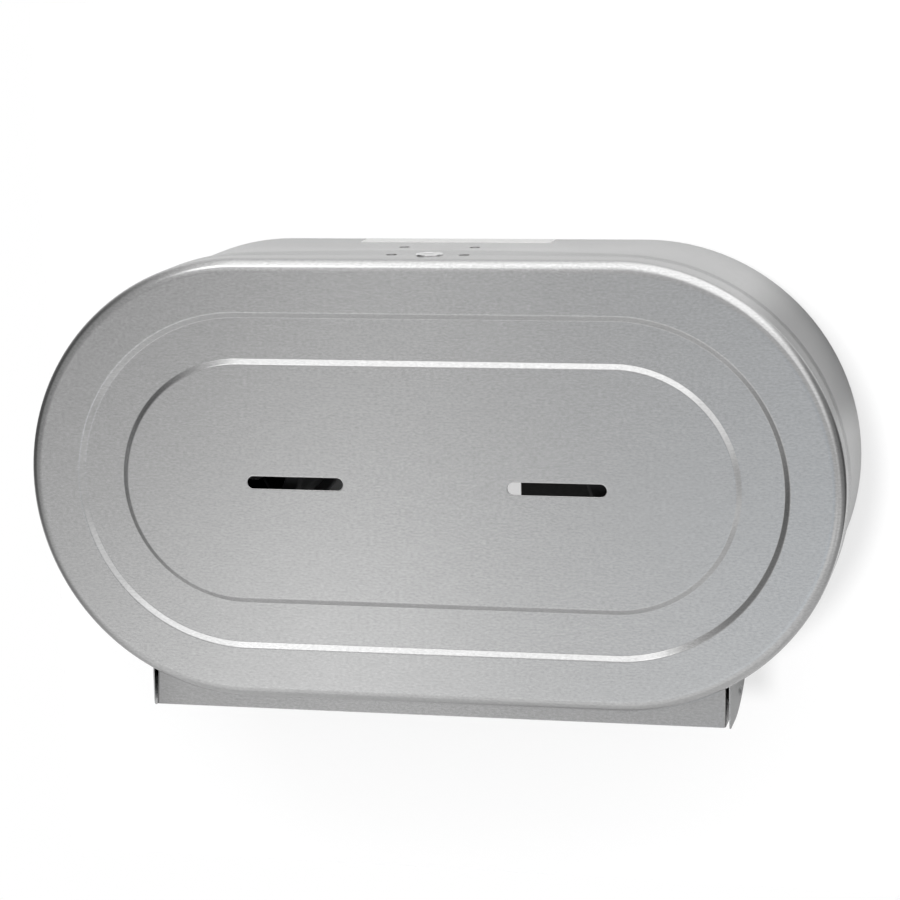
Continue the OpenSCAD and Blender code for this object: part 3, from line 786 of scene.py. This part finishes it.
# Fittings that keep the solids' shapes: piece, finish and width of the rounded edges
FITTINGS = (
    # The back plate takes the near-black steel that paints the cabinet's inside shade
    ("cabinet_back", "Back steel painted shade", 0),
    ("strike_bracket", "Bracket steel", 0.2 * MM),
    ("lock_bracket", "Bracket steel", 0.2 * MM),
    ("hinge_spacers", "Spacer white", 0.2 * MM),
    ("thrust_washers", "Zinc plate", 0),
    ("retaining_rings", "Zinc plate", 0),
    ("lock_body", "Lock chrome", 0.15 * MM),
    ("lock_plug", "Lock chrome", 0.15 * MM),
    ("lock_nut", "Zinc plate", 0.15 * MM),
    ("lock_cam", "Zinc plate", 0.15 * MM),
    ("cam_screw", "Zinc plate", 0.15 * MM),
)
PAIRED_FITTINGS = (
    ("spindle_plate", "Bracket steel", 0.25 * MM),
    ("spindle_post", "Zinc plate", 0.2 * MM),
    ("hinge_rivet", "Rivet steel", 0),
    ("spindle_hub", "Hub black", 0.3 * MM),
    ("core_adapter", "Hub black", 0.3 * MM),
)


class DISPENSER_OT_fittings(bpy.types.Operator):
    """Give the back plate, brackets, spindles, rivets and lock their finishes"""

    bl_idname = "dispenser.fittings"
    bl_label = "Fittings"

    def execute(self, context):
        for node, material, bevel in FITTINGS:
            dress_node(node, material, bevel)
        for piece, material, bevel in PAIRED_FITTINGS:
            for side in ("left", "right"):
                dress_node(f"{piece}_{side}", material, bevel)
        return {"FINISHED"}


def rounded_slab(name, centre, size, corner, steps=6):
    """A thin slab lying flat with round corners in plan: an outline ring at two heights.

    A ring point is its corner's centre plus corner radius times (cos a, sin a).
    """
    turn = np.linspace(0, math.pi / 2, steps + 1)
    angle = np.concatenate([turn + k * math.pi / 2 for k in range(4)])
    sign = np.repeat([[1, 1], [-1, 1], [-1, -1], [1, -1]], steps + 1, 0)
    out = np.stack([np.cos(angle), np.sin(angle)], 1)
    ring = sign * (np.array(size[:2]) / 2 - corner) + corner * out
    half = size[2] / 2
    points = np.concatenate([np.c_[ring, np.full(len(ring), z)] for z in (-half, half)])
    faces = grid_faces(2, len(ring), round_columns=True)
    faces += [list(range(len(ring))), list(range(len(ring), 2 * len(ring)))]
    return make_piece(name, points + centre, faces, points[:, :2])


class DISPENSER_OT_label(bpy.types.Operator):
    """Lay the blank label on the cabinet's top, at its rear edge"""

    bl_idname = "dispenser.label"
    bl_label = "Label"

    def execute(self, context):
        s = context.scene.dispenser_cabinet
        y = WALL_HIGH.y - s.label_depth / 2 - s.label_inset
        centre = (-s.label_middle, y, WALL_HIGH.z + s.label_sheet / 2)
        size = (s.label_length, s.label_depth, s.label_sheet)
        piece = rounded_slab("blank_label", centre, size, s.label_corner)
        dress(piece, "Label paper")
        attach(piece, "cabinet")
        return {"FINISHED"}


# A weld mark's ridge: half its width to the mark's radius, and its foot's depth to its height
WELD_RIDGE, WELD_FOOT = 0.26, 0.2


class DISPENSER_OT_weld_marks(bpy.types.Operator):
    """Mark the spot welds on the rim and on the cabinet's top"""

    bl_idname = "dispenser.weld_marks"
    bl_label = "Weld Marks"

    def execute(self, context):
        s = context.scene.dispenser_cabinet
        # A ring's section is a half ellipse on the sheet, closed by a shallow one under it, and
        # turned about the weld's middle
        turn = np.linspace(0, 2 * math.pi, 29)[:-1]
        bulge = np.linspace(0, math.pi, 7)
        out = s.weld_radius * (1 - WELD_RIDGE + WELD_RIDGE * np.cos(bulge))
        height = s.weld_rise * np.sin(bulge)
        section = np.stack([np.concatenate([out, out[::-1][1:-1]]),
                            np.concatenate([height, -WELD_FOOT * height[1:-1]])], 1)
        ring = np.stack([
            np.cos(turn)[:, None] * section[:, 0], np.sin(turn)[:, None] * section[:, 0],
            np.broadcast_to(section[:, 1], (len(turn), len(section)))], -1).reshape(-1, 3)
        faces = grid_faces(len(turn), len(section), True, True)
        faces += grid_faces(len(turn), len(section), True, True, first=len(ring))
        for name, body, middle in (
            ("rim_weld_marks", "door", (-s.rim_weld_shift, LOCK_Y, COVER_HIGH.z)),
            ("top_weld_marks", "cabinet", (-s.top_weld_shift, -s.weld_depth, WALL_HIGH.z)),
        ):
            marks = np.concatenate([
                ring + middle + (side * s.weld_spread, 0, 0) for side in (-1, 1)])
            piece = make_piece(name, marks, faces, marks[:, :2])
            dress(piece, "Weld tint")
            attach(piece, body)
        return {"FINISHED"}


# Stage

# The room's own light: elevation in degrees and radiance
ROOM = ((-90, 0.34), (-50, 0.58), (-30, 0.5), (-20, 1.09), (-12, 0.59), (-5, 0.14), (3, 0.64),
        (14, 0.96), (28, 0.72), (60, 0.68), (90, 0.52))
# Radiance at which the ramp's colours are full
RAMP_TOP = 2
# Soft boxes and flags: azimuth, elevation, inner and outer half angle in degrees, radiance
SOFT_BOXES = (
    ("front band", 176, 72, 13.3, 24.8, 1.86),
    ("left band", 210, 43.8, 4.4, 10.4, 3.2),
    ("right band", 108, 67.4, 19.6, 56.6, 1.48),
    ("front low box", 189, -62.6, 27.4, 45.2, 0.76),
    ("strip, top", 194.4, -2.5, 1, 4.1, 1.14),
    ("strip, bottom", 196, -15.2, 0, 3, 2.2),
    ("right box", 121, 29.8, 9.7, 18.5, 1.04),
    ("left flag", 272, 6.4, 9, 59, 0.1),
    ("rear flag", 73, 4, 10.3, 49.5, 0.23),
    ("rear flag, core", 50, -6, 6, 24, 0.08),
    ("right fill", 124, -12, 6, 19, 0.6),
    ("left side", 229, 4.4, 1, 36.6, 0.31),
    ("window", 164.5, 10.3, 26.2, 31.9, 0.53),
)
# Where the light is cooler: azimuth, elevation, inner and outer half angle, colour
COOL_CORNER = (174, -12, 6, 18, (0.94, 1, 1.06))
# Painted shade in reflections: near these places the glow of the backdrop and the floor fades, as if
# the object's shadow fell there: place, inner and outer radius
PAINTED_SHADOW_SPOTS = (((0.255, 0, 0.095), 0.02, 0.075), ((0.285, 0, 0.06), 0.015, 0.05),
             ((0.305, 0, 0.01), 0.012, 0.035), ((0.22, 0, -0.17), 0.03, 0.09),
             ((0, 0.15, -FLOOR_DROP), 0, 0.36))
# Pale surfaces: shade, glow for the camera and glow in reflections
BACKDROP = (0.4, 0.6, 0.28)
FLOOR = (0.3, 0.7, 0.3)
# Width of the camera's sensor in millimetres, and how near and how far it sees in metres
SENSOR_WIDTH = 36
CAMERA_RANGE = (0.05, 50)


def direction(azimuth, elevation):
    """Unit vector; azimuth 0 is behind the object and 90 to its right, in degrees."""
    a, e = math.radians(azimuth), math.radians(elevation)
    return math.sin(a) * math.cos(e), math.cos(a) * math.cos(e), math.sin(e)


def smooth_range(nodes, links, value, low, high):
    """Smoothstep of a socket: 0 at low and 1 at high."""
    node = nodes.new("ShaderNodeMapRange")
    node.interpolation_type = "SMOOTHSTEP"
    node.inputs["From Min"].default_value = low
    node.inputs["From Max"].default_value = high
    links.new(value, node.inputs["Value"])
    return node.outputs["Result"]


def pale_stage(name, shade, camera_glow, mirror_glow):
    """A matt pale surface, seen from its front only, whose glow fills it up to white.

    The glow is camera_glow for the camera and mirror_glow for reflections and for what is seen
    through glass, and nothing for the light that it throws on the object. In reflections it
    fades to nothing near the painted-shade spots, a painted shade standing in for the object's shadow:
    glow * product of smoothstep(distance).
    """
    material, nodes, links, shader = new_material(
        name, Base_Color=(shade, shade, shade, 1), Roughness=1.0)
    path, face = nodes.new("ShaderNodeLightPath"), nodes.new("ShaderNodeNewGeometry")
    glow, add = nodes.new("ShaderNodeEmission"), nodes.new("ShaderNodeAddShader")
    clear, one_side = nodes.new("ShaderNodeBsdfTransparent"), nodes.new("ShaderNodeMixShader")
    mirrored = math_node(nodes, links, "MAXIMUM", path.outputs["Is Glossy Ray"],
                         path.outputs["Is Transmission Ray"])
    mirrored = math_node(nodes, links, "MULTIPLY", mirrored, mirror_glow)
    place = nodes.new("ShaderNodeTexCoord").outputs["Object"]
    # Painted shade: the reflected glow fades near each spot, as if the object's shadow fell on the
    # backdrop or the floor
    for spot, inner, outer in PAINTED_SHADOW_SPOTS:
        distance = vector_node(nodes, links, "DISTANCE", place, spot, output="Value")
        fade = smooth_range(nodes, links, distance, inner, outer)
        mirrored = math_node(nodes, links, "MULTIPLY", mirrored, fade)
    strength = math_node(nodes, links, "MULTIPLY_ADD", path.outputs["Is Camera Ray"],
                         camera_glow, mirrored)
    links.new(strength, glow.inputs["Strength"])
    links.new(shader.outputs[0], add.inputs[0])
    links.new(glow.outputs[0], add.inputs[1])
    links.new(face.outputs["Backfacing"], one_side.inputs[0])
    links.new(add.outputs[0], one_side.inputs[1])
    links.new(clear.outputs[0], one_side.inputs[2])
    links.new(one_side.outputs[0], nodes["Material Output"].inputs[0])
    return material


def room_light(nodes, links, place):
    """The room's light as a colour socket: its ramp over the sine of the elevation, then the discs.

    A soft box lies over what comes before it: light + mask * (its radiance - light). The cool
    corner tints it: light + mask * (light * tint - light). A mask is the smoothstep of the
    cosine of the angle between the direction and the disc's middle.
    """
    split, level = nodes.new("ShaderNodeSeparateXYZ"), nodes.new("ShaderNodeMapRange")
    links.new(place, split.inputs[0])
    links.new(split.outputs["Z"], level.inputs["Value"])
    level.inputs["From Min"].default_value = -1
    ramp, bright = nodes.new("ShaderNodeValToRGB"), nodes.new("ShaderNodeVectorMath")
    links.new(level.outputs["Result"], ramp.inputs[0])
    stops = ramp.color_ramp.elements
    while len(stops) < len(ROOM):
        stops.new(0.5)
    for stop, (elevation, radiance) in zip(stops, ROOM):
        stop.position = (math.sin(math.radians(elevation)) + 1) / 2
        stop.color = (*[radiance / RAMP_TOP] * 3, 1)
    bright.operation = "SCALE"
    bright.inputs["Scale"].default_value = RAMP_TOP
    links.new(ramp.outputs[0], bright.inputs[0])
    light = bright.outputs[0]
    discs = [(name, "MIX", *disc, [radiance] * 3) for name, *disc, radiance in SOFT_BOXES]
    discs.append(("cool corner", "MULTIPLY", *COOL_CORNER))
    for name, blend, azimuth, elevation, inner, outer, shade in discs:
        middle = direction(azimuth, elevation)
        cosine = vector_node(nodes, links, "DOT_PRODUCT", place, middle, output="Value")
        mask = smooth_range(nodes, links, cosine, math.cos(math.radians(outer)),
                            math.cos(math.radians(inner)))
        mix = nodes.new("ShaderNodeMix")
        mix.label = name
        mix.data_type, mix.blend_type = "RGBA", blend
        links.new(mask, mix.inputs["Factor"])
        # Of a colour mix, sockets 6 and 7 are its two colours and output 2 is the result
        links.new(light, mix.inputs[6])
        mix.inputs[7].default_value = (*shade, 1)
        light = mix.outputs[2]
    return light


def studio_world():
    """A room with soft boxes, and plain white where the camera looks at it."""
    world = bpy.data.worlds.new("Studio")
    world.use_nodes = True
    nodes, links = world.node_tree.nodes, world.node_tree.links
    nodes.clear()
    place = nodes.new("ShaderNodeTexCoord").outputs["Generated"]
    room, white = nodes.new("ShaderNodeBackground"), nodes.new("ShaderNodeBackground")
    links.new(room_light(nodes, links, place), room.inputs["Color"])
    white.inputs["Color"].default_value = (1, 1, 1, 1)
    path, choose = nodes.new("ShaderNodeLightPath"), nodes.new("ShaderNodeMixShader")
    links.new(path.outputs["Is Camera Ray"], choose.inputs[0])
    links.new(room.outputs[0], choose.inputs[1])
    links.new(white.outputs[0], choose.inputs[2])
    links.new(choose.outputs[0], nodes.new("ShaderNodeOutputWorld").inputs[0])
    return world


def pale_surface(name, corners, look):
    """One pale rectangle of the stage, its corners counter-clockwise from the front."""
    mesh = bpy.data.meshes.new(name)
    mesh.from_pydata(corners, [], [(0, 1, 2, 3)])
    mesh.materials.append(pale_stage(name, *look))
    piece = bpy.data.objects.new(name, mesh)
    bpy.context.scene.collection.objects.link(piece)


def key_lamp(s):
    """A soft lamp from the upper left, so that the shadow falls to the lower right."""
    key = bpy.data.lights.new("Key", "SUN")
    key.energy, key.angle = s.key_power, s.key_softness
    lamp = bpy.data.objects.new("Key", key)
    lamp.visible_glossy = False
    lamp.rotation_euler = Vector(s.key_direction).to_track_quat("-Z", "Y").to_euler()
    bpy.context.scene.collection.objects.link(lamp)


def photo_camera(s):
    """A camera at the photograph's angle: turned, dipped and rolled, in that order."""
    camera = bpy.data.cameras.new("Camera")
    camera.lens, camera.sensor_width = s.lens, SENSOR_WIDTH
    camera.clip_start, camera.clip_end = CAMERA_RANGE
    eye = bpy.data.objects.new("Camera", camera)
    bpy.context.scene.collection.objects.link(eye)
    axes = (Matrix.Rotation(s.camera_turn, 3, "Z") @ Matrix.Rotation(s.camera_dip, 3, "X")
            @ Matrix.Rotation(s.camera_roll, 3, "Y"))
    right, forward, up = axes.col
    turned = Matrix((right, up, -forward)).transposed().to_4x4()
    eye.matrix_world = Matrix.Translation(Vector(s.camera_place)) @ turned
    return eye


class DISPENSER_OT_stage(bpy.types.Operator):
    """Set the backdrop, floor, studio light and camera"""

    bl_idname = "dispenser.stage"
    bl_label = "Stage"

    def execute(self, context):
        s = context.scene.dispenser_studio
        scene = context.scene
        scene.world = studio_world()
        wide, high, gap = s.board_width / 2, s.board_height / 2, s.board_gap
        pale_surface("backdrop", [(-wide, gap, -high), (wide, gap, -high), (wide, gap, high),
                                  (-wide, gap, high)], BACKDROP)
        size, drop = s.floor_size / 2, -s.floor_drop
        pale_surface("floor", [(-size, -size, drop), (size, -size, drop), (size, size, drop),
                               (-size, size, drop)], FLOOR)
        key_lamp(s)
        scene.camera = photo_camera(s)
        scene.view_settings.view_transform = "Standard"
        return {"FINISHED"}


# Add-on


OPERATORS = (DISPENSER_OT_cover, DISPENSER_OT_wall, DISPENSER_OT_apron, DISPENSER_OT_fittings,
             DISPENSER_OT_label, DISPENSER_OT_weld_marks, DISPENSER_OT_stage)


class DISPENSER_PT_build(bpy.types.Panel):
    """The dispenser's pieces, in the order in which they are built"""

    bl_idname = "DISPENSER_PT_build"
    bl_label = "Roll Dispenser"
    bl_space_type = "VIEW_3D"
    bl_region_type = "UI"
    bl_category = "Dispenser"

    def draw(self, context):
        for operator in OPERATORS:
            self.layout.operator(operator.bl_idname)
        for name, group in GROUPS.items():
            box = self.layout.box()
            box.label(text=group.__doc__)
            for prop in group.__annotations__:
                box.prop(getattr(context.scene, name), prop)


def register():
    """Register the settings, the operators and the panel."""
    for group in (*GROUPS.values(), *OPERATORS, DISPENSER_PT_build):
        bpy.utils.register_class(group)
    for name, group in GROUPS.items():
        setattr(bpy.types.Scene, name, PointerProperty(type=group))


def unregister():
    """Take away what register() has added."""
    for name in GROUPS:
        delattr(bpy.types.Scene, name)
    for group in (DISPENSER_PT_build, *OPERATORS, *GROUPS.values()):
        bpy.utils.unregister_class(group)


def main():
    """Build every piece and the stage."""
    register()
    for operator in OPERATORS:
        getattr(bpy.ops.dispenser, operator.bl_idname.split(".")[1])()


if __name__ == "__main__":
    main()
